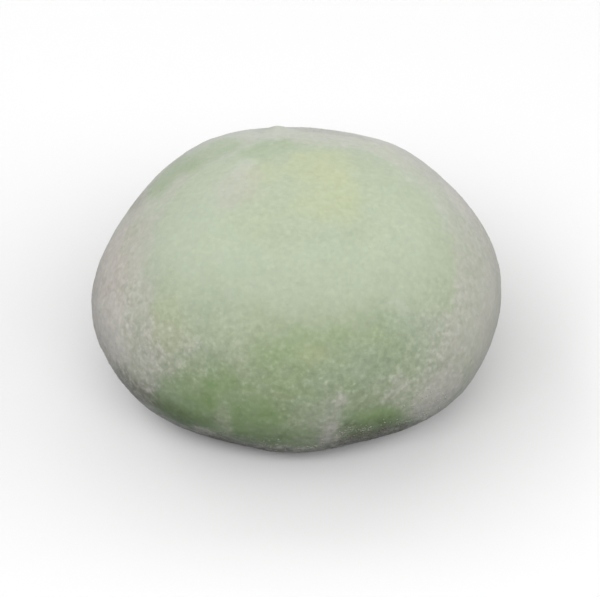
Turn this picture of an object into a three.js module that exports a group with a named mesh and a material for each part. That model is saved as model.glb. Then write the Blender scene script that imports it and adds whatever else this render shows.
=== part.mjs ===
// A hand-formed mochi: a soft rice-dough cake, drawn round its filling, pinched shut underneath and set down.
// Millimetres, +Z up, +Y away from the front. The origin is on the resting plane, in the middle of the outline.
import * as THREE from "three";

const body = {
  bellyRadius: 25, // mean radius of the widest ring
  bellyHeight: 11, // how high that ring lies: soft dough sags, so it is low
  height: 30.4,
  restRadius: 14, // the flat spot that the cake lies on
  crownFullness: 2.12, // 2 is an elliptical dome, and more is a squarer shoulder
};

// Rounded corners of the plan: how many, how deep as a share of the radius, and the azimuth of the first in degrees.
const planLobes = [
  { corners: 2, share: 0.042, azimuth: 0 },
  { corners: 3, share: 0.018, azimuth: 99 },
  { corners: 4, share: 0.007, azimuth: -67.5 },
];

// The crown's top sits a little off the middle.
const crownLean = { x: -0.2, y: 0.4, power: 1.5 };

// Swells (+) and flats (-) that the fingers left. Angles are in degrees, seen from the middle of the belly ring.
const handMarks = [
  { azimuth: 50, elevation: 36, spread: 4.5, depth: 0.6 },
  { azimuth: 82, elevation: 43, spread: 5.8, depth: -0.2 },
  { azimuth: 131, elevation: 36, spread: 4.8, depth: 0.35 },
  { azimuth: 165, elevation: 17, spread: 6.8, depth: -0.3 },
  { azimuth: 180, elevation: 2, spread: 4.6, depth: 0.36 },
  { azimuth: 210, elevation: -12, spread: 6.2, depth: -0.2 },
  { azimuth: 269, elevation: -21, spread: 3.8, depth: 0.5 },
  { azimuth: 291, elevation: -20, spread: 6.0, depth: -0.2 },
  { azimuth: 345, elevation: -4, spread: 4.4, depth: -0.5 },
];
const markFade = 3; // marks fade out over this height above the resting plane, which stays flat

// The gathered dough underneath: a shallow dimple with folds that run into its middle.
const pinch = { radius: 8, depth: 1.1, folds: 7, foldShare: 0.3, twist: 0.9 };

const facets = { columns: 96, crownRings: 26, flankRings: 14, pinchRings: 7 };

// Half of the body's section, from the middle of the base up to the crown: the resting face, a quarter round that
// rolls out to the belly ring, and a superelliptical dome.
function section() {
  const { bellyRadius, bellyHeight, height, restRadius, crownFullness } = body;
  const { crownRings, flankRings, pinchRings } = facets;
  const points = [];
  for (let i = 0; i <= pinchRings; i++) {
    points.push(new THREE.Vector2((pinch.radius * i) / pinchRings, 0));
  }
  for (let i = 0; i < flankRings; i++) {
    const angle = ((Math.PI / 2) * i) / flankRings;
    const r = restRadius + (bellyRadius - restRadius) * Math.sin(angle);
    points.push(new THREE.Vector2(r, bellyHeight * (1 - Math.cos(angle))));
  }
  for (let i = 0; i <= crownRings; i++) {
    const angle = ((Math.PI / 2) * i) / crownRings;
    const r = i < crownRings ? bellyRadius * Math.cos(angle) ** (2 / crownFullness) : 0;
    points.push(new THREE.Vector2(r, bellyHeight + (height - bellyHeight) * Math.sin(angle)));
  }
  return points;
}

// Squeezes the round plan into its rounded corners, and leans the crown.
function shapePlan(point) {
  const azimuth = Math.atan2(point.y, point.x);
  let scale = 1;
  for (const { corners, share, azimuth: first } of planLobes) {
    scale += share * Math.cos(corners * (azimuth - THREE.MathUtils.degToRad(first)));
  }
  const lean = (point.z / body.height) ** crownLean.power;
  point.x = point.x * scale + crownLean.x * lean;
  point.y = point.y * scale + crownLean.y * lean;
}

// The middle of a hand mark, on the ellipsoid through the belly ring and the crown.
function markCentre({ azimuth, elevation }) {
  const around = THREE.MathUtils.degToRad(azimuth);
  const up = THREE.MathUtils.degToRad(elevation);
  const rise = body.height - body.bellyHeight;
  const reach = 1 / Math.hypot(Math.cos(up) / body.bellyRadius, Math.sin(up) / rise);
  return new THREE.Vector3(
    reach * Math.cos(up) * Math.cos(around),
    reach * Math.cos(up) * Math.sin(around),
    body.bellyHeight + reach * Math.sin(up),
  );
}

// Moves a point in or out along its ray from the middle of the belly, by each mark's bell curve in turn.
function pressMarks(point, marks, middle) {
  for (const mark of marks) {
    const fade = THREE.MathUtils.clamp(point.z / markFade, 0, 1);
    const near = Math.exp(-point.distanceToSquared(mark.centre) / (2 * mark.spread ** 2));
    const outward = point.clone().sub(middle).normalize();
    point.addScaledVector(outward, mark.depth * near * fade);
  }
}

// Lifts the base inside the pinch: a smooth dimple, ridged by folds that swirl as they near its middle.
function pinchBase(point) {
  const share = Math.hypot(point.x, point.y) / pinch.radius;
  if (point.z > 0 || share >= 1) return;
  const dimple = (1 - share ** 2) ** 2;
  const swirl = Math.atan2(point.y, point.x) + pinch.twist * (1 - share);
  const ridges = share * (1 - share) * 4 * pinch.foldShare * Math.cos(pinch.folds * swirl);
  point.z = pinch.depth * dimple * (1 + ridges);
}

function mochiGeometry() {
  const geometry = new THREE.LatheGeometry(section(), facets.columns);
  const middle = new THREE.Vector3(0, 0, body.bellyHeight);
  const marks = handMarks.map((mark) => ({ ...mark, centre: markCentre(mark) }));
  const position = geometry.attributes.position;
  const point = new THREE.Vector3();
  for (let i = 0; i < position.count; i++) {
    point.set(position.getX(i), -position.getZ(i), position.getY(i)); // the lathe turns about Y: the cake stands on Z
    shapePlan(point);
    pressMarks(point, marks, middle);
    pinchBase(point);
    position.setXYZ(i, point.x, point.y, point.z);
  }
  geometry.computeBoundingBox();
  const outlineMiddle = geometry.boundingBox.getCenter(new THREE.Vector3());
  geometry.translate(-outlineMiddle.x, -outlineMiddle.y, 0);
  geometry.computeVertexNormals();
  return geometry;
}

const dustedSkin = new THREE.MeshStandardMaterial({ color: "#bcc6ab", roughness: 0.9, metalness: 0 });

const mochi = new THREE.Mesh(mochiGeometry(), dustedSkin);
mochi.name = "mochi";

const part = new THREE.Group();
part.add(mochi);

export default part;
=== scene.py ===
import functools
import itertools
import math

import bpy
import numpy as np
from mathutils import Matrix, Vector


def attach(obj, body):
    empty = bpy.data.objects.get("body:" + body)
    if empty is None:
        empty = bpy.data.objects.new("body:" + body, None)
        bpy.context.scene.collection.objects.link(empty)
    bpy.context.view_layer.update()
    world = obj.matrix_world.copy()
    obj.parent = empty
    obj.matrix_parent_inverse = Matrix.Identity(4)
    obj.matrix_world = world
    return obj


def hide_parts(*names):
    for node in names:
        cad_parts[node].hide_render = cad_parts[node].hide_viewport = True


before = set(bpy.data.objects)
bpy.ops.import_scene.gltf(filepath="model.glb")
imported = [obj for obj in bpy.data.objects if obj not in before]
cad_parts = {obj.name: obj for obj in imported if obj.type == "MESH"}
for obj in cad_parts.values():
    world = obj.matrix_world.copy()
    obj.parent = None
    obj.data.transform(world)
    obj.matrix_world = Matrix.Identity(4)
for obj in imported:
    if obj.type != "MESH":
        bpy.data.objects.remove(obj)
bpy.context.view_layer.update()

# Lengths are in millimetres until a mesh is made, then metres. +Z is up, +Y points away from the front.
millimetre = 0.001


def linearColour(code):
    # An sRGB hex value as linear RGBA: c/12.92 near black, else ((c + 0.055) / 1.055) to the power 2.4.
    channels = np.array([int(code[i:i + 2], 16) / 255 for i in (1, 3, 5)])
    linear = np.where(channels <= 0.04045, channels / 12.92, ((channels + 0.055) / 1.055) ** 2.4)
    return [*linear.tolist(), 1.0]


def smoothStep(value, low, high):
    # 0 below low, 1 above high, and 3t^2 - 2t^3 between them.
    share = np.clip((value - low) / (high - low), 0, 1)
    return share * share * (3 - 2 * share)


noise = dict(
    corners=32,  # lattice corners each way, after which the noise repeats
    draw=41,  # seed of their slopes
    shift=7.3,  # in cells, which keeps the lattice's planes away from the origin
    shiftPerSeed=3.1,
    cornersPerSeed=5,
    gain=1.7,  # brings the values to about -1 to 1
)


def randomLattice(size):
    # A random slope of length 1 for each corner of a cube of corners.
    slopes = np.random.default_rng(noise["draw"]).normal(size=(size, size, size, 3))
    return slopes / np.linalg.norm(slopes, axis=-1, keepdims=True)


lattice = randomLattice(noise["corners"])


def gradientNoise(points, cell, seed):
    # Each lattice corner's random slope times the offset from it, faded by 6t^5 - 15t^4 + 10t^3 between
    # corners that lie one cell (in mm) apart.
    scaled = points / cell + noise["shift"] + noise["shiftPerSeed"] * seed
    corner = np.floor(scaled).astype(int)
    part = scaled - corner
    fade = part ** 3 * (part * (6 * part - 15) + 10)
    total = np.zeros(points.shape[:-1])
    for step in itertools.product((0, 1), repeat=3):
        index = (corner + step + noise["cornersPerSeed"] * seed) % noise["corners"]
        slope = lattice[index[..., 0], index[..., 1], index[..., 2]]
        weight = np.prod(np.where(step, fade, 1 - fade), axis=-1)
        total += weight * (slope * (part - step)).sum(axis=-1)
    return total * noise["gain"]


def unevenness(points, row):
    # Gradient noise times an amount, from a row of amount, cell in mm and seed.
    amount, cell, seed = row
    return amount * gradientNoise(points, cell, seed)


def wandering(points, row):
    # The same as a vector, of three noises with seeds that follow each other.
    amount, cell, seed = row
    return amount * np.stack([gradientNoise(points, cell, seed + axis) for axis in range(3)], axis=-1)


nearlyNone = 1e-6  # mm

cake = dict(
    bellyRadius=25.0,  # mean radius of the widest ring
    bellyHeight=11.0,  # soft dough sags, so that ring lies low
    height=30.4,
    restRadius=14.0,  # the flat spot that the cake lies on
    crownFullness=2.12,  # 2 is an elliptical dome, and more is a squarer shoulder
    planLobes=[  # rounded corners of the plan: how many, share of the radius, azimuth of the first in degrees
        (2, 0.042, 0),
        (3, 0.018, 99),
        (4, 0.007, -67.5),
    ],
    crownLean=(-0.2, 0.4),  # how far the crown's top sits off the middle
    leanPower=1.5,
    pinchRadius=8.0,  # the gathered dough underneath
    pinchDepth=1.1,
    pinchFolds=7,
    foldShare=0.3,  # how high the folds stand, as a share of the depth
    pinchTwist=0.9,  # radians by which they swirl
    markFade=3.0,  # hand marks fade out over this height above the resting plane
    columns=440,
    rows=224,
    sectionSamples=2000,
    outlineColumns=720,  # the grid on which the outline is measured
    outlineRows=360,
)

# Swells (+) and flats (-) that the fingers left: azimuth and elevation in degrees, spread and depth in mm.
handMarks = [
    (50, 36, 4.5, 0.6),
    (82, 43, 5.8, -0.2),
    (131, 36, 4.8, 0.35),
    (165, 17, 6.8, -0.3),
    (180, 2, 4.6, 0.36),
    (210, -12, 6.2, -0.2),
    (269, -21, 3.8, 0.5),
    (291, -20, 6.0, -0.2),
    (345, -4, 4.4, -0.5),
]

belly = np.array([0, 0, cake["bellyHeight"]])


def sectionCurve():
    # Half of the section as radius and height against its share of arc length: a flat base, a quarter round
    # out to the belly ring, and a superelliptical dome, r = R cos(a)^(2/n), z = b + (H - b) sin(a).
    rest, radius = cake["restRadius"], cake["bellyRadius"]
    low, rise = cake["bellyHeight"], cake["height"] - cake["bellyHeight"]
    samples = cake["sectionSamples"]
    angle = np.linspace(0, math.pi / 2, samples)
    baseR, baseZ = np.linspace(0, rest, samples), np.zeros(samples)
    flankR, flankZ = rest + (radius - rest) * np.sin(angle), low * (1 - np.cos(angle))
    crownR = radius * np.clip(np.cos(angle), 0, 1) ** (2 / cake["crownFullness"])
    crownZ = low + rise * np.sin(angle)
    r, z = np.concatenate([baseR, flankR, crownR]), np.concatenate([baseZ, flankZ, crownZ])
    length = np.concatenate([[0], np.cumsum(np.hypot(np.diff(r), np.diff(z)))])
    return length / length[-1], r, z


sectionShare, sectionRadius, sectionHeight = sectionCurve()


def fromBelly(points):
    # Directions of length 1 from the middle of the belly ring.
    ray = points - belly
    return ray / np.maximum(np.linalg.norm(ray, axis=-1, keepdims=True), nearlyNone)


def onDome(azimuth, elevation):
    # The point at these angles, in degrees, on the ellipsoid through the belly ring and the crown.
    around, up = math.radians(azimuth), math.radians(elevation)
    rise = cake["height"] - cake["bellyHeight"]
    reach = 1 / math.hypot(math.cos(up) / cake["bellyRadius"], math.sin(up) / rise)
    ray = np.array([math.cos(up) * math.cos(around), math.cos(up) * math.sin(around), math.sin(up)])
    return belly + reach * ray


def nearMark(points, azimuth, elevation, spread):
    # The bell curve exp(-d^2 / 2 spread^2) of the distance d from a mark's middle on the dome.
    away = ((points - onDome(azimuth, elevation)) ** 2).sum(axis=-1)
    return np.exp(-away / (2 * spread ** 2))


def pressMarks(points):
    # Each mark in turn moves a point along its ray from the belly's middle, by depth times bell curve.
    for azimuth, elevation, spread, depth in handMarks:
        near = nearMark(points, azimuth, elevation, spread)
        fade = np.clip(points[..., 2] / cake["markFade"], 0, 1)
        points = points + fromBelly(points) * (depth * near * fade)[..., None]
    return points


def pinchBase(points):
    # On the flat base, a dimple (1 - s^2)^2 with s the share of the pinch radius, ridged by
    # 4 s (1 - s) cos(folds (azimuth + twist (1 - s))).
    x, y, z = np.moveaxis(points, -1, 0)
    share = np.clip(np.hypot(x, y) / cake["pinchRadius"], 0, 1)
    swirl = np.arctan2(y, x) + cake["pinchTwist"] * (1 - share)
    ridges = 4 * share * (1 - share) * cake["foldShare"] * np.cos(cake["pinchFolds"] * swirl)
    lift = cake["pinchDepth"] * (1 - share ** 2) ** 2 * (1 + ridges)
    return np.stack([x, y, np.where(z < nearlyNone, lift, z)], axis=-1)


def uncentredForm(turn, along):
    # The section at share "along" of its length, turned to azimuth "turn", squeezed by the plan's lobes,
    # 1 + sum of share cos(corners (turn - first)), then leaned, marked by the fingers and pinched underneath.
    radius = np.interp(along, sectionShare, sectionRadius)
    height = np.interp(along, sectionShare, sectionHeight)
    squeeze = 1 + sum(share * np.cos(corners * (turn - math.radians(first)))
                      for corners, share, first in cake["planLobes"])
    lean = (height / cake["height"]) ** cake["leanPower"]
    x = radius * squeeze * np.cos(turn) + cake["crownLean"][0] * lean
    y = radius * squeeze * np.sin(turn) + cake["crownLean"][1] * lean
    return pinchBase(pressMarks(np.stack([x, y, height], axis=-1)))


def middleOfOutline():
    # The middle of that form's box in X and Y.
    turn, along = np.meshgrid(np.linspace(0, 2 * math.pi, cake["outlineColumns"]),
                              np.linspace(0, 1, cake["outlineRows"]))
    points = uncentredForm(turn, along).reshape(-1, 3)
    middle = (points.min(axis=0) + points.max(axis=0)) / 2
    return middle * (1, 1, 0)


outlineMiddle = middleOfOutline()
print("form centred by", outlineMiddle.round(3), "mm")


def plainForm(turn, along):
    # The form with the middle of its outline over the origin.
    return uncentredForm(turn, along) - outlineMiddle


# Patches on the skin: azimuth in degrees, height, half width round the cake, half height up it, strength.
rubbedPatches = [
    (238.5, 8.6, 5.2, 5.2, 0.95),  # damp green dough where the cake was held
    (244.5, 13.2, 7.0, 3.6, 0.52),
    (232.5, 11.2, 3.2, 2.8, 0.6),
    (243, 16.2, 4.6, 2.4, 0.35),
    (258, 10.0, 4.6, 4.8, 0.8),
    (269.5, 7.2, 4.0, 3.4, 0.6),
    (291.5, 8.2, 6.2, 3.6, 0.82),
    (290.5, 11.0, 4.0, 2.0, 0.3),
    (232, 6.4, 3.6, 2.6, 0.7),
    (286.5, 7.4, 2.2, 2.2, 0.35),
    (281, 18.4, 12.0, 7.2, 0.5),
    (260, 14.0, 8.0, 4.0, 0.22),
    (245, 21.0, 7.0, 6.0, 0.12),
    (171, 22.8, 5.0, 2.4, 0.16),
    (187, 21.4, 3.0, 2.4, 0.25),
    (134, 28.8, 4.4, 2.6, 0.12),
    (158, 25.2, 5.6, 3.2, 0.4),
    (161, 27.0, 3.2, 2.2, 0.14),
    (144, 27.6, 5.4, 3.0, 0.38),
    (124, 29.6, 5.0, 3.2, 0.36),
    (18, 8.0, 8.0, 5.0, 0.4),  # and the sides that face away are like the front
    (30, 12.5, 8.0, 5.0, 0.24),
    (60, 7.6, 8.0, 5.0, 0.5),
    (72, 12.5, 9.0, 6.0, 0.3),
    (84, 17.5, 13.0, 6.5, 0.24),
    (92, 11.0, 18.0, 8.0, 0.24),
    (104, 7.4, 7.0, 4.6, 0.55),
    (116, 11.0, 8.0, 5.0, 0.3),
    (130, 7.6, 6.0, 4.0, 0.4),
    (153, 9.0, 9.0, 5.5, 0.32),
    (168, 8.0, 6.0, 4.0, 0.22),
]
# Dry starch in tongues that run down between the rubbed patches, and in smears on the crown.
starchPatches = [
    (281, 12.0, 2.0, 3.6, 0.42),
    (280, 7.6, 2.8, 3.0, 0.76),
    (285, 12.4, 1.6, 1.8, 0.3),
    (299.5, 12.4, 2.0, 1.6, 0.25),
    (297, 13.4, 5.0, 1.5, 0.3),
    (249.5, 9.6, 1.5, 3.4, 0.6),
    (240.5, 5.2, 2.0, 1.8, 0.85),
    (314, 9.6, 4.2, 4.6, 0.8),
    (318, 17.0, 3.2, 5.0, 0.4),
    (229, 17.0, 4.2, 4.6, 0.35),
    (82, 8.6, 2.0, 4.6, 0.6),
    (93, 12.5, 1.8, 3.2, 0.4),
    (38, 8.0, 2.4, 5.0, 0.6),
    (141, 8.4, 2.4, 4.6, 0.6),
    (188, 29.4, 3.8, 3.2, 0.22),
]
# Starch that a palm pressed smooth.
smoothPatches = [
    (344, 12.0, 11.0, 9.0, 0.45),
    (182, 14.0, 6.0, 9.0, 0.25),
    (50, 17.0, 9.0, 6.0, 0.4),
    (118, 20.0, 8.0, 6.0, 0.4),
]
# Starch that rolled itself into crumbs.
crumbPatches = [
    (293, 5.6, 8.0, 3.0, 1.0),
    (308, 8.6, 4.0, 3.4, 0.2),
    (256, 4.8, 9.0, 2.4, 0.7),
    (75, 6.0, 9.0, 4.0, 0.7),
    (150, 7.0, 6.0, 4.0, 0.6),
]
# Tints of the skin, some of them painted shade and painted light in part, and the patches that have them.
tints = dict(
    warm="#bfc59a",  # the colouring left some dough yellower,
    cool="#bfcab6",  # and some bluer
    blush="#c6b9b4",  # starch from a pink neighbour
    thick="#dad7cf",  # the deepest starch is the whitest
    damp="#5c5743",  # painted shade: the contact shadow along the foot, and shade at two rims
    wet="#6c804c",  # darker green dough low down: partly its own deeper green, partly painted shade near the foot
)
tintPatches = dict(
    warm=[(317, 29.9, 5.4, 4.2, 0.38), (40, 30.25, 4.8, 5.0, 0.44), (168, 30.2, 2.4, 2.2, 0.25),
          (274, 20.3, 3.0, 1.8, 0.35), (269, 14.8, 3.0, 1.6, 0.2), (227, 19.5, 3.0, 3.5, 0.22)],
    cool=[(220, 27.0, 9.0, 7.0, 0.4), (160, 25.2, 9.0, 3.4, 0.3), (120, 27.0, 9.0, 5.0, 0.3),
          (320, 25.0, 7.0, 5.0, 0.3), (162, 29.7, 2.4, 1.8, 0.15), (271, 26.6, 11.0, 5.0, 0.35),
          (172, 29.0, 5.0, 5.0, 0.25), (352, 27.0, 8.0, 6.0, 0.25)],
    blush=[(192, 29.6, 4.4, 3.4, 0.26), (192, 15.0, 8.0, 10.0, 0.35), (20, 16.0, 6.0, 8.0, 0.3)],
    # the thick patch at 206 degrees is partly whiter starch and partly painted light from the left
    thick=[(206, 14.5, 6.0, 4.0, 0.46), (314, 9.8, 4.2, 3.4, 0.3), (5, 12.0, 7.0, 4.0, 0.35),
           (305, 22.6, 1.6, 1.0, 0.12), (162, 29.7, 1.6, 1.4, 0.16), (284, 16.2, 0.5, 0.5, 0.8),
           (14.5, 22.0, 4.0, 3.0, 0.3), (331, 14.0, 4.0, 4.0, 0.22), (344, 16.5, 4.0, 3.5, 0.2)],
    # painted shade: round the foot where the cake meets the tray, and at the rims at 166 and 78 degrees
    damp=[(246, 4.0, 8.0, 1.8, 0.3), (218, 8.8, 6.5, 3.0, 0.35), (294, 4.8, 7.0, 2.6, 0.62),
          (268, 4.0, 6.0, 1.2, 0.12), (95, 4.6, 14.0, 2.4, 0.4), (20, 4.6, 9.0, 2.0, 0.3),
          (166, 22.2, 3.4, 2.4, 0.12), (78, 27.0, 8.0, 2.2, 0.18)],
    # deeper green low on the cake, partly painted shade near the foot
    wet=[(235, 6.8, 3.4, 2.0, 0.3), (232, 7.6, 3.2, 3.0, 0.4), (243, 9.0, 2.6, 1.6, 0.25),
         (265, 6.8, 6.0, 1.8, 0.38), (292, 7.4, 4.4, 2.4, 0.5), (286, 7.6, 2.2, 2.0, 0.2)],
)

dusting = dict(
    wander=[(1.1, 7.0, 1), (0.9, 2.4, 4)],  # how far edges stray in mm, over cells of this size, and the seed
    patchEdge=(0.55, 1.25),  # a patch fades out between these shares of its half size
    crownMiddle=(0.9, -8.0),  # the crown took up its starch: round here it is a damp green film
    crownHalfWidth=18.3,
    crownHalfDepth=15.5,  # behind the middle, and in front of it the crown runs straight down
    thinFrom=(0.90, 1.08),  # thin dust starts and is full at these shares of the crown,
    thinCover=0.6,
    thickFrom=(1.16, 1.36),  # and thick dust at these
    footHeight=4.6,  # starch picked up from the tray
    footFade=1.6,
    footCover=0.6,
    cover=0.92,
    worn=0.16,  # the starch is rubbed a little in clouds too: weight, cell in mm and seed of each
    wornClouds=[(1.0, 8.0, 19), (0.5, 3.6, 20)],
    starchHidesRub=0.85,
    rubClearsDust=0.85,
    clearedFrom=(0.1, 0.45),  # it starts to clear at the first amount of rub, and is clear at the second
    gritLow=16.5,  # below this height the starch is dry and granular,
    gritHigh=25.0,  # and above this one it is smooth and darker: thinner starch, and painted shade on the upper sides
    crownGrit=0.4,
    dustSmooths=0.2,  # how much of the grit full dust hides,
    rubSmooths=0.45,  # how much rubbing takes,
    smoothedFrom=(0.5, 0.9),  # between these amounts of rub,
    footCoarsens=0.7,  # and how much the foot adds
)


def patchField(points, patches):
    # 1 - product of (1 - strength * bump), where bump falls smoothly from 1 to 0 at a patch's edge, as the
    # distance from its middle grows, in half widths round the cake and half heights along it.
    radius, azimuth = np.hypot(points[..., 0], points[..., 1]), np.arctan2(points[..., 1], points[..., 0])
    bare = np.ones(points.shape[:-1])
    for centre, height, halfWidth, halfHeight, strength in patches:
        centreRadius = np.interp(height, sectionHeight, sectionRadius)
        away = np.angle(np.exp(1j * (azimuth - math.radians(centre))))
        across = radius * away / halfWidth
        down = np.hypot(radius - centreRadius, points[..., 2] - height) / halfHeight
        bare *= 1 - strength * (1 - smoothStep(np.hypot(across, down), *dusting["patchEdge"]))
    return 1 - bare


def starchFields(points):
    # Fields from 0 to 1: "dust", dry starch that hides the dough; "rub", dough that shows through; "grit",
    # how granular it is; "crumbs"; and each tint. Noise pushes the points about, so every edge is ragged.
    coarse, fine = (wandering(points, row) for row in dusting["wander"])
    pushed = points + coarse + fine
    x, y, z = np.moveaxis(pushed, -1, 0)
    across = (x - dusting["crownMiddle"][0]) / dusting["crownHalfWidth"]
    depth = np.maximum(y - dusting["crownMiddle"][1], 0) / dusting["crownHalfDepth"]
    reach = np.hypot(across, depth)
    thin, thick = smoothStep(reach, *dusting["thinFrom"]), smoothStep(reach, *dusting["thickFrom"])
    sides = dusting["thinCover"] * thin + (1 - dusting["thinCover"]) * thick
    foot = 1 - smoothStep(z, dusting["footHeight"], dusting["footHeight"] + dusting["footFade"])
    starched = patchField(pushed, starchPatches)

    worn = dusting["worn"] * np.maximum(sum(unevenness(pushed, row) for row in dusting["wornClouds"]), 0)
    rub = np.clip(patchField(pushed, rubbedPatches) + worn, 0, 1) * (1 - dusting["starchHidesRub"] * starched)
    cleared = dusting["rubClearsDust"] * smoothStep(rub, *dusting["clearedFrom"])
    dust = (1 - (1 - sides) * (1 - starched)) * (1 - cleared)
    dust = 1 - (1 - dust) * (1 - dusting["footCover"] * foot)

    low = 1 - smoothStep(z, dusting["gritLow"], dusting["gritHigh"])
    grit = (dusting["crownGrit"] + (1 - dusting["crownGrit"]) * low) * (1 - dusting["dustSmooths"] * dust)
    grit *= 1 - patchField(pushed, smoothPatches)
    smoothed = dusting["rubSmooths"] * smoothStep(rub, *dusting["smoothedFrom"])
    grit *= (1 - smoothed) * (1 + dusting["footCoarsens"] * foot)
    tinted = {name: patchField(pushed, patches) for name, patches in tintPatches.items()}
    return dict(dust=dust * dusting["cover"], rub=rub, grit=grit,
                crumbs=patchField(pushed, crumbPatches), **tinted)


relief = dict(
    swell=(0.10, 9.0, 8),  # soft unevenness of hand-rolled dough: mm, cell in mm, seed
    ripple=(0.045, 3.5, 9),  # and a smaller one
    coat=0.10,  # thickness of the dry starch,
    coatLumps=(0.5, 2.0, 10),  # and how it varies, as a share
    crumb=(0.02, 0.9, 11),  # its grit,
    crumbOnDough=0.5,  # and the share of it that bare dough has
    clearance=1.5,  # relief fades out over this height above the resting plane
    marks=[  # like handMarks, but shallow
        (101, 51, 1.0, 0.5),  # a nub where dough was pinched off
        (250, 8, 4.2, -0.16),
        (305, 8, 4.2, -0.2),
        (243, -24, 4.2, -0.2),
        (297, -24, 4.2, -0.12),
        (30, -10, 5.0, -0.2),
        (120, -6, 5.0, 0.2),
    ],
)


def skinForm(turn, along):
    # The plain form, raised along rays from the belly's middle by slow noise, by the starch that lies on it
    # and by shallow marks, each depth times bell curve.
    points = plainForm(turn, along)
    fields = starchFields(points)
    dust, grit = fields["dust"], fields["grit"]
    rise = (unevenness(points, relief["swell"]) + unevenness(points, relief["ripple"])
            + relief["coat"] * dust * (1 + unevenness(points, relief["coatLumps"]))
            + grit * (relief["crumbOnDough"] + dust) * unevenness(points, relief["crumb"]))
    for azimuth, elevation, spread, depth in relief["marks"]:
        rise += depth * nearMark(points, azimuth, elevation, spread)
    rise *= smoothStep(points[..., 2], 0, relief["clearance"])
    return points + fromBelly(points) * rise[..., None], fields


def skinNormal(turn, along):
    # The cross product of a small step round the cake and one along its section.
    step = 1e-4
    moves = ((0, 0), (step, 0), (0, step))
    here, around, ahead = (skinForm(turn + sideways, along + upward)[0] for sideways, upward in moves)
    normal = np.cross(around - here, ahead - here)
    return normal / np.linalg.norm(normal, axis=-1, keepdims=True)


def makePiece(name, points, faces, material, slotName, **fields):
    # A smooth mesh object from arrays in mm, with a float attribute for each named field.
    mesh = bpy.data.meshes.new(name)
    mesh.from_pydata((points * millimetre).tolist(), [], faces)
    mesh.polygons.foreach_set("use_smooth", np.ones(len(mesh.polygons), dtype=bool))
    for label, values in fields.items():
        mesh.attributes.new(label, "FLOAT", "POINT").data.foreach_set("value", values.astype(np.float32))
    mesh.materials.append(material)
    mesh.update()
    piece = bpy.data.objects.new(name, mesh)
    bpy.context.scene.collection.objects.link(piece)
    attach(piece, "root")
    return piece


def makeCake(material):
    # A grid of azimuth by share of the section, with one vertex at each pole and a fan of triangles round it.
    columns, rows = cake["columns"], cake["rows"]
    turn = np.linspace(0, 2 * math.pi, columns, endpoint=False)
    along = np.linspace(0, 1, rows)
    gridTurn, gridAlong = np.meshgrid(turn, along[1:-1])
    allTurn = np.concatenate([[0], gridTurn.ravel(), [0]])
    allAlong = np.concatenate([[0], gridAlong.ravel(), [1]])
    points, fields = skinForm(allTurn, allAlong)
    ring = np.arange(1, 1 + columns * (rows - 2)).reshape(rows - 2, columns)
    ahead = np.roll(ring, -1, axis=1)
    quads = np.stack([ring[:-1], ahead[:-1], ahead[1:], ring[1:]], axis=-1).reshape(-1, 4)
    last = len(points) - 1
    bottomFan = np.stack([np.zeros(columns, int), ahead[0], ring[0]], axis=-1)
    topFan = np.stack([np.full(columns, last), ring[-1], ahead[-1]], axis=-1)
    faces = quads.tolist() + bottomFan.tolist() + topFan.tolist()
    print("cake skin:", len(points), "vertices")
    return makePiece("mochiSkin", points, faces, material, "dusted_skin", **fields)


# Starch that sits on the skin: single large grains, and clumps that stuck together. Starch grains are at most
# 0.1 mm, too fine to show, so they are drawn somewhat coarser. Sizes are half widths in mm.
starchGrains = dict(
    name="starchGrains",
    sides=8,
    tries=150000,
    kept=24000,
    smallest=0.035,
    largest=0.08,
    rarity=1.5,  # a higher power leaves fewer large ones
    proud=0.2,  # how far the middle lies above the skin, as a share of the half width
    flat=0.75,  # thickness as a share of width
    roughness=0.2,  # how far corners stray, as a share of the half width
    crumbShare=0.2,  # share that keeps to the crumb patches
    seed=17,
)
starchClumps = dict(
    name="starchClumps",
    sides=20,
    tries=170000,
    kept=9000,
    smallest=0.06,
    largest=0.16,
    rarity=1.5,
    proud=0.0,
    flat=0.42,
    roughness=0.22,
    crumbShare=1.0,
    seed=23,
)
scatter = dict(
    crowds=[(1.0, 2.4, 14), (0.6, 0.9, 15)],  # loose starch gathers in crowds: weight, cell in mm, seed
    crowdFrom=(-0.5, 0.6),
    loners=0.1,  # and some lies between them
    onDough=0.2,  # how much lies on bare dough,
    onDust=0.6,  # how much more on full dust,
    lostToRub=0.8,  # and the share of both that rubbing takes away
    clearOfTray=0.5,  # mm above the resting plane, so that the cake lies flat
    wildest=1.5,  # limit of a corner's random reach, in deviations
)


def lumpShape(sides):
    # The corners and outward triangles of a regular solid of 8 or 20 sides, found as the corner triples whose
    # three gaps are all the shortest one.
    if sides == 8:
        corners = np.concatenate([np.eye(3), -np.eye(3)])
    else:
        golden = (1 + math.sqrt(5)) / 2
        third = [(0, a, b * golden) for a, b in itertools.product((-1, 1), repeat=2)]
        corners = np.array([np.roll(corner, shift) for shift in range(3) for corner in third])
    corners = corners / np.linalg.norm(corners[0])
    gaps = np.linalg.norm(corners[:, None] - corners[None], axis=-1)
    shortest = gaps[gaps > 0].min() * 1.01  # with room for rounding
    triples = [t for t in itertools.combinations(range(len(corners)), 3)
               if max(gaps[t[0], t[1]], gaps[t[1], t[2]], gaps[t[0], t[2]]) < shortest]
    faces = [t if np.linalg.det(corners[list(t)]) > 0 else (t[0], t[2], t[1]) for t in triples]
    return corners, np.array(faces)


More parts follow.
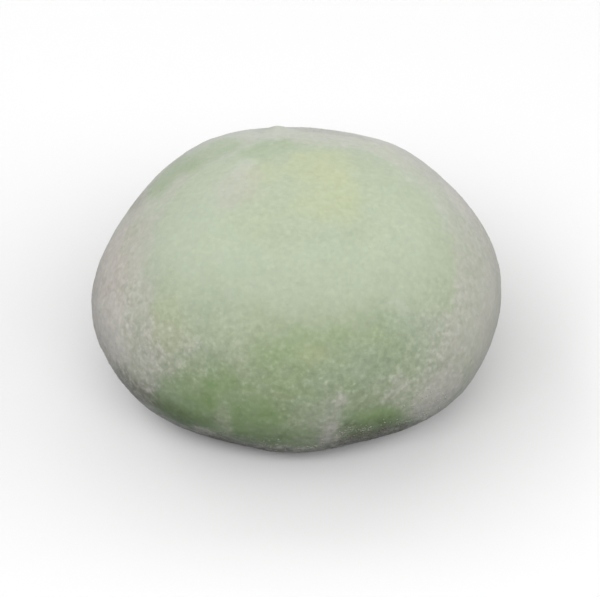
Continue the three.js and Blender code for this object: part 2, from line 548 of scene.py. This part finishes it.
def scatterStarch(kind, material):
    # Lumps with random corners, scattered by azimuth and share of the section and kept by chance in
    # proportion to the area there and to the starch, then flattened on to the skin.
    draw = np.random.default_rng(kind["seed"])
    turn, along = draw.random(kind["tries"]) * 2 * math.pi, draw.random(kind["tries"])
    points, fields = skinForm(turn, along)
    radius = np.hypot(points[:, 0], points[:, 1]) / cake["bellyRadius"]
    crowd = smoothStep(sum(unevenness(points, row) for row in scatter["crowds"]), *scatter["crowdFrom"])
    bed = scatter["onDough"] + scatter["onDust"] * fields["dust"]
    loose = fields["grit"] * bed * (1 - scatter["lostToRub"] * fields["rub"])
    share = (1 - kind["crumbShare"]) * loose + kind["crumbShare"] * fields["crumbs"]
    wanted = radius * share * (scatter["loners"] + crowd) * (points[:, 2] > scatter["clearOfTray"])
    kept = np.flatnonzero(draw.random(kind["tries"]) < wanted)[:kind["kept"]]
    count = len(kept)
    up = skinNormal(turn[kept], along[kept])[:, None]
    size = kind["smallest"] + (kind["largest"] - kind["smallest"]) * draw.random(count) ** kind["rarity"]
    corners, triangles = lumpShape(kind["sides"])
    stray = draw.normal(size=(count, len(corners), 1)).clip(-scatter["wildest"], scatter["wildest"])
    lumps = corners * (1 + kind["roughness"] * stray)
    lumps = lumps @ np.linalg.qr(draw.normal(size=(count, 3, 3)))[0]
    lumps -= (1 - kind["flat"]) * (lumps * up).sum(axis=-1, keepdims=True) * up
    vertices = points[kept][:, None] + size[:, None, None] * (lumps + kind["proud"] * up)
    faces = (triangles + len(corners) * np.arange(count)[:, None, None]).reshape(-1, 3)
    print(kind["name"] + ":", count, "pieces")
    # each lump takes the painted shade and the rub of the skin under it
    under = {name: np.repeat(fields[name][kept], len(corners)) for name in ("damp", "rub")}
    return makePiece(kind["name"], vertices.reshape(-1, 3), faces.tolist(), material, "dusted_skin", **under)


mixFactor, mixA, mixB, mixResult = 0, 6, 7, 2  # sockets of a Mix node that is set to colours


def addNode(tree, kind, settings=None, links=None):
    # Adds one node. Settings and links name a socket by its label or number, and a setting may name a
    # property. A link comes from a socket, or from a node's first output.
    node = tree.nodes.new(kind)
    for name, value in (settings or {}).items():
        if isinstance(name, str) and hasattr(node, name):
            setattr(node, name, value)
        else:
            node.inputs[name].default_value = value
    for name, source in (links or {}).items():
        output = source.outputs[0] if isinstance(source, bpy.types.Node) else source
        tree.links.new(output, node.inputs[name])
    return node


def startMaterial(name, settings):
    # A new material, its node tree and its shader, whose own sockets are set by their labels.
    material = bpy.data.materials.new(name)
    material.use_nodes = True
    shader = material.node_tree.nodes["Principled BSDF"]
    for label, value in settings.items():
        shader.inputs[label].default_value = value
    return material, material.node_tree, shader


dough = dict(
    greens=[(0.0, "#b6c0a5"), (0.35, "#acb998"), (0.65, "#a1b48a"), (0.88, "#95ae7c"), (1.0, "#8da872")],
    mottleOnRub=0.5,  # how far mottling moves a spot along those greens
    drifted="#b0bca8",
    driftFrom=(0.48, 0.7),  # the drift noise at which the cooler green starts and is full,
    driftShare=0.5,  # and how much of it there is then
    thinStarchAndShade="#bbbcaf",  # darker starch where grit is low: thinner starch on the crown, and painted shade on the upper sides
    starchShade="#c0bfb3",  # between dry granules, and on them
    starchLight="#d2cfc7",
    granulesOnCover=0.9,
    mottleOnCover=0.5,
    coverFrom=(0.2, 1.15),  # dust, granules and mottling at which starch starts to cover, and covers
    tintThinning=1.8,
    granuleShade=0.6,  # granules are lighter and the hollows darker by this share: random grain tone, with painted shade in the hollows
    granuleHeight=0.06,  # mm
    filmRoughness=0.6,
    starchRoughness=0.95,
    grain=0.8,  # mm. Its finest octave is 0.1 mm; real grains, at a half of that, are too fine to show
    grainOctaves=3.0,
    grainRoughness=0.7,
    curd=0.5,  # mm between the little heaps that starch gathers in
    curdShare=0.38,
    mottle=1.9,  # mm between thinner and thicker spots
    drift=9.0,  # mm between greener and cooler dough
    softOctaves=2.0,
)


def makeDustedDough():
    # Rice dough coloured green under potato starch: steamed, kneaded and rolled. The dough is waxy and lets
    # light in; starch that took up water is a pale film on it, and dry starch is a matt, slightly warm white
    # with a powdery bloom at the rims.
    material, tree, shader = startMaterial("starchDustedRiceDough", {
        "IOR": 1.45,
        "Subsurface Weight": 0.3,
        "Subsurface Radius": (1.0, 0.9, 0.6),
        "Subsurface Scale": 1.5 * millimetre,
        "Sheen Weight": 0.3,
        "Sheen Roughness": 0.5,
        "Sheen Tint": linearColour("#e6ebf4"),
    })
    add = functools.partial(addNode, tree)
    place = add("ShaderNodeTexCoord")
    inMm = {"Vector": add("ShaderNodeVectorMath", {"operation": "SCALE", "Scale": 1 / millimetre},
                          {0: place.outputs["Object"]})}
    dust, rub, grit, *tinted = (add("ShaderNodeAttribute", {"attribute_name": name}).outputs["Fac"]
                                for name in ("dust", "rub", "grit", *tints))
    grain = add("ShaderNodeTexNoise", {"Scale": 1 / dough["grain"], "Detail": dough["grainOctaves"],
                                       "Roughness": dough["grainRoughness"]}, inMm)
    curds = add("ShaderNodeTexVoronoi", {"feature": "SMOOTH_F1", "Scale": 1 / dough["curd"]}, inMm)
    mottle, drift = (add("ShaderNodeTexNoise", {"Scale": 1 / cell, "Detail": dough["softOctaves"]}, inMm)
                     for cell in (dough["mottle"], dough["drift"]))

    # granules: grain plus one random level for each heap, both about a half, centred and scaled by the grit
    levels = add("ShaderNodeSeparateColor", None, {0: curds.outputs["Color"]})
    heaps = add("ShaderNodeMath", {"operation": "MULTIPLY_ADD", 1: dough["curdShare"],
                                   2: -(1 + dough["curdShare"]) / 2}, {0: levels})
    centred = add("ShaderNodeMath", {"operation": "ADD"}, {0: grain, 1: heaps})
    granules = add("ShaderNodeMath", {"operation": "MULTIPLY"}, {0: centred, 1: grit})

    # the rub field, broken up by mottling, looks up a green between the pale film and the damp dough
    mottled = add("ShaderNodeMath", {"operation": "MULTIPLY_ADD", 1: dough["mottleOnRub"]},
                  {0: mottle, 2: rub})
    bare = add("ShaderNodeMath", {"operation": "SUBTRACT", 1: dough["mottleOnRub"] / 2}, {0: mottled})
    greens = add("ShaderNodeValToRGB", None, {"Fac": bare})
    for index, (position, code) in enumerate(dough["greens"]):
        stops = greens.color_ramp.elements
        stop = stops[index] if index < 2 else stops.new(position)
        stop.position, stop.color = position, linearColour(code)

    # slow drift to a cooler green
    cooling = add("ShaderNodeMapRange", {"From Min": dough["driftFrom"][0], "From Max": dough["driftFrom"][1],
                                         "To Max": dough["driftShare"]}, {"Value": drift})
    cooled = add("ShaderNodeMix", {"data_type": "RGBA", mixB: linearColour(dough["drifted"])},
                 {mixFactor: cooling, mixA: greens})

    # dust plus granules and mottling, pushed through a soft threshold, covers it with starch
    grainy = add("ShaderNodeMath", {"operation": "MULTIPLY_ADD", 1: dough["granulesOnCover"]},
                 {0: granules, 2: dust})
    heaped = add("ShaderNodeMath", {"operation": "MULTIPLY_ADD", 1: dough["mottleOnCover"]},
                 {0: mottle, 2: grainy})
    cover = add("ShaderNodeMapRange", {"interpolation_type": "SMOOTHSTEP", "From Min": dough["coverFrom"][0],
                                       "From Max": dough["coverFrom"][1]}, {"Value": heaped})
    lightness = add("ShaderNodeMath", {"operation": "ADD", 1: 0.5}, {0: granules})  # back round a half
    dry = add("ShaderNodeMix", {"data_type": "RGBA", mixA: linearColour(dough["starchShade"]),
                                mixB: linearColour(dough["starchLight"])}, {mixFactor: lightness})
    # low grit takes the darker starch: thinner starch on the crown, painted shade on the upper sides
    starch = add("ShaderNodeMix", {"data_type": "RGBA", mixA: linearColour(dough["thinStarchAndShade"])},
                 {mixFactor: grit, mixB: dry.outputs[mixResult]})
    covered = add("ShaderNodeMix", {"data_type": "RGBA"},
                  {mixFactor: cover, mixA: cooled.outputs[mixResult], mixB: starch.outputs[mixResult]})

    # each tint sits in the hollows, so the granules thin it
    hollows = add("ShaderNodeMath", {"operation": "MULTIPLY_ADD", 1: -dough["tintThinning"], 2: 1.0},
                  {0: granules})
    for code, field in zip(tints.values(), tinted):
        amount = add("ShaderNodeMath", {"operation": "MULTIPLY", "use_clamp": True}, {0: field, 1: hollows})
        covered = add("ShaderNodeMix", {"data_type": "RGBA", mixB: linearColour(code)},
                      {mixFactor: amount, mixA: covered.outputs[mixResult]})
    # grain tone with painted shade in the hollows between granules, multiplied into the colour
    shading = add("ShaderNodeMath", {"operation": "MULTIPLY_ADD", 1: dough["granuleShade"], 2: 1.0},
                  {0: granules})
    granular = add("ShaderNodeVectorMath", {"operation": "SCALE"},
                   {0: covered.outputs[mixResult], "Scale": shading})
    tree.links.new(granular.outputs[0], shader.inputs["Base Color"])

    roughness = add("ShaderNodeMapRange", {"To Min": dough["filmRoughness"],
                                           "To Max": dough["starchRoughness"]}, {"Value": cover})
    tree.links.new(roughness.outputs[0], shader.inputs["Roughness"])
    bump = add("ShaderNodeBump", {"Strength": 1.0, "Distance": dough["granuleHeight"] * millimetre},
               {"Height": granules})
    tree.links.new(bump.outputs[0], shader.inputs["Normal"])
    return material


looseStarch = dict(
    deep="#cdcbc1",  # in deep starch
    onDough="#b2b6a3",  # on bare dough, whose green shines through
    # painted shade: the grey tone a lump takes where the skin under it has painted shade
    wet="#8e8d80",
    bareAt=0.4,  # rub that counts as bare
    paintedShadeAt=0.35,
)


def makeDryStarch():
    # Dry potato starch in grains and clumps: a matt white powder, greener where the dough shines through a
    # lump, and greyer by painted shade where the skin under it carries painted shade.
    material, tree, shader = startMaterial("dryPotatoStarch", {"Roughness": 1.0, "Specular IOR Level": 0.2})
    rub, damp = (addNode(tree, "ShaderNodeAttribute", {"attribute_name": name}).outputs["Fac"]
                 for name in ("rub", "damp"))
    baring = addNode(tree, "ShaderNodeMapRange", {"From Max": looseStarch["bareAt"]}, {"Value": rub})
    paintedShading = addNode(tree, "ShaderNodeMapRange", {"From Max": looseStarch["paintedShadeAt"]}, {"Value": damp})
    tones = {"data_type": "RGBA", mixA: linearColour(looseStarch["deep"]),
             mixB: linearColour(looseStarch["onDough"])}
    dry = addNode(tree, "ShaderNodeMix", tones, {mixFactor: baring})
    shade = addNode(tree, "ShaderNodeMix", {"data_type": "RGBA", mixB: linearColour(looseStarch["wet"])},
                    {mixFactor: paintedShading, mixA: dry.outputs[mixResult]})
    tree.links.new(shade.outputs[mixResult], shader.inputs["Base Color"])
    return material


stage = dict(
    floorSize=6.0,  # metres
    gap=0.00003,  # below the cake, so that the two faces don't fight
    shown="#f4f4f4",
    bounce="#424242",  # the floor sends back far less light than it shows, like glass over a lit board
    lampDistance=1.0,
    lampWidth=1.5,
    lampAim=(0, 0, 0.015),
    skyShown="#dcdcdc",
    skyLight=0.03,
)
# Soft boxes: azimuth and elevation in degrees, height in metres, radiance in W/m2/sr.
softBoxes = dict(
    front=(270, 47, 0.5, 3.2),
    left=(180, 47, 0.5, 2.26),
    back=(90, 47, 0.5, 1.8),
    right=(0, 25, 0.4, 2.85),
)


def makeFloor():
    # A wide pale board, matt like paper, that shows lighter than what it sends back.
    half = stage["floorSize"] / 2
    corners = [(x * half, y * half, -stage["gap"]) for x, y in ((-1, -1), (1, -1), (1, 1), (-1, 1))]
    mesh = bpy.data.meshes.new("floor")
    mesh.from_pydata(corners, [], [(0, 1, 2, 3)])
    floor = bpy.data.objects.new("floor", mesh)
    bpy.context.scene.collection.objects.link(floor)
    material, tree, shader = startMaterial("paleBoard", {"Roughness": 1.0, "Specular IOR Level": 0.0})
    ray = addNode(tree, "ShaderNodeLightPath")
    tones = {"data_type": "RGBA", mixA: linearColour(stage["bounce"]), mixB: linearColour(stage["shown"])}
    shade = addNode(tree, "ShaderNodeMix", tones, {mixFactor: ray.outputs["Is Camera Ray"]})
    tree.links.new(shade.outputs[mixResult], shader.inputs["Base Color"])
    mesh.materials.append(material)


def makeLights():
    # Wide soft boxes on every side of the cake, the front one strongest, in a room that gives little light.
    for name, (azimuth, elevation, height, radiance) in softBoxes.items():
        lamp = bpy.data.lights.new(name + "SoftBox", "AREA")
        lamp.shape, lamp.size, lamp.size_y = "RECTANGLE", stage["lampWidth"], height
        lamp.energy = math.pi * lamp.size * lamp.size_y * radiance
        holder = bpy.data.objects.new(name + "SoftBox", lamp)
        bpy.context.scene.collection.objects.link(holder)
        around, up = math.radians(azimuth), math.radians(elevation)
        toward = Vector((math.cos(up) * math.cos(around), math.cos(up) * math.sin(around), math.sin(up)))
        holder.location = toward * stage["lampDistance"]
        aim = Vector(stage["lampAim"]) - holder.location
        holder.rotation_euler = aim.to_track_quat("-Z", "Y").to_euler()

    world = bpy.data.worlds.new("paleRoom")
    bpy.context.scene.world = world
    world.use_nodes = True
    tree = world.node_tree
    ray = addNode(tree, "ShaderNodeLightPath")
    light = addNode(tree, "ShaderNodeBackground", {"Color": (1, 1, 1, 1), "Strength": stage["skyLight"]})
    shown = addNode(tree, "ShaderNodeBackground", {"Color": linearColour(stage["skyShown"]), "Strength": 1.0})
    both = addNode(tree, "ShaderNodeMixShader", None, {0: ray.outputs["Is Camera Ray"], 1: light, 2: shown})
    tree.links.new(both.outputs[0], tree.nodes["World Output"].inputs["Surface"])


view = dict(
    elevation=40,  # degrees above the horizon
    distance=0.38,  # metres
    lens=177.4,
    sensor=36,
    aim=(0.00039, 0, 0.010217),
    clipStart=0.01,
)


def makeCamera():
    # Looks along +Y and down by the elevation, at the aim, from the distance.
    camera = bpy.data.cameras.new("camera")
    camera.lens, camera.sensor_width, camera.clip_start = view["lens"], view["sensor"], view["clipStart"]
    holder = bpy.data.objects.new("camera", camera)
    bpy.context.scene.collection.objects.link(holder)
    up = math.radians(view["elevation"])
    back = Vector((0, -math.cos(up), math.sin(up)))
    holder.location = Vector(view["aim"]) + back * view["distance"]
    holder.rotation_euler = back.to_track_quat("Z", "Y").to_euler()
    bpy.context.scene.camera = holder


makeCamera()
makeFloor()
makeLights()
bpy.context.scene.view_settings.view_transform = "Standard"
print("camera, lights and floor placed")

skin = makeCake(makeDustedDough())
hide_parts("mochi")
dryStarch = makeDryStarch()
scatterStarch(starchGrains, dryStarch)
scatterStarch(starchClumps, dryStarch)
